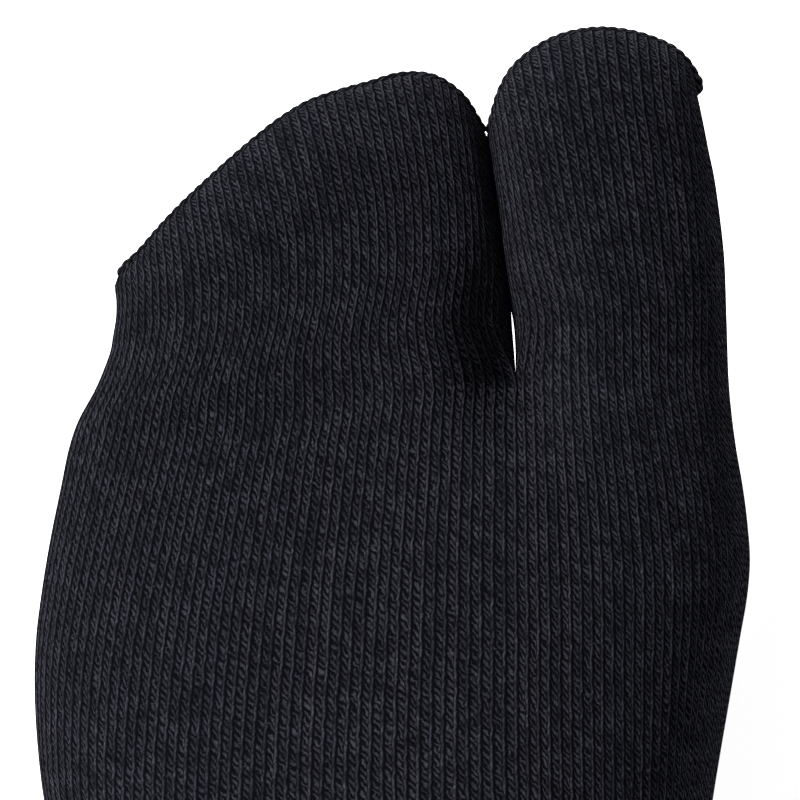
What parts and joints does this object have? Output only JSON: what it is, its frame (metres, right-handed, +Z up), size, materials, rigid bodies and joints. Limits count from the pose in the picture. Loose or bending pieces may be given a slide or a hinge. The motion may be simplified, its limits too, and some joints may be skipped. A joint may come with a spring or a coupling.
{
  "type": "tabi sock",
  "caption": "Split-toe ankle-length knitted sock for the left foot, filled out as worn, with a separate big-toe pocket and a ribbed cuff.",
  "frame": {"origin": "middle of the leg opening at the top edge of the cuff, where the leg's grip holds the sock up", "axes": "+Z up, out of the leg opening; +Y from the heel to the toes; +X to the wearer's medial side, where the big toe is"},
  "size_m": [0.0969, 0.2504, 0.2224],
  "materials": {
    "jersey_knit": "black cotton-blend jersey, soft and slightly fuzzy",
    "rib_knit": "black elastic rib",
    "seam_yarn": "black linked loops, raised beads"
  },
  "bodies": {
    "root": {"cuff": "rib_knit", "leg": "jersey_knit", "instep": "jersey_knit", "heel": "jersey_knit", "foot": "jersey_knit", "four_toe_pocket": "jersey_knit", "big_toe_pocket": "jersey_knit", "four_toe_seam": "seam_yarn", "big_toe_seam": "seam_yarn"}
  },
  "joints": []
}
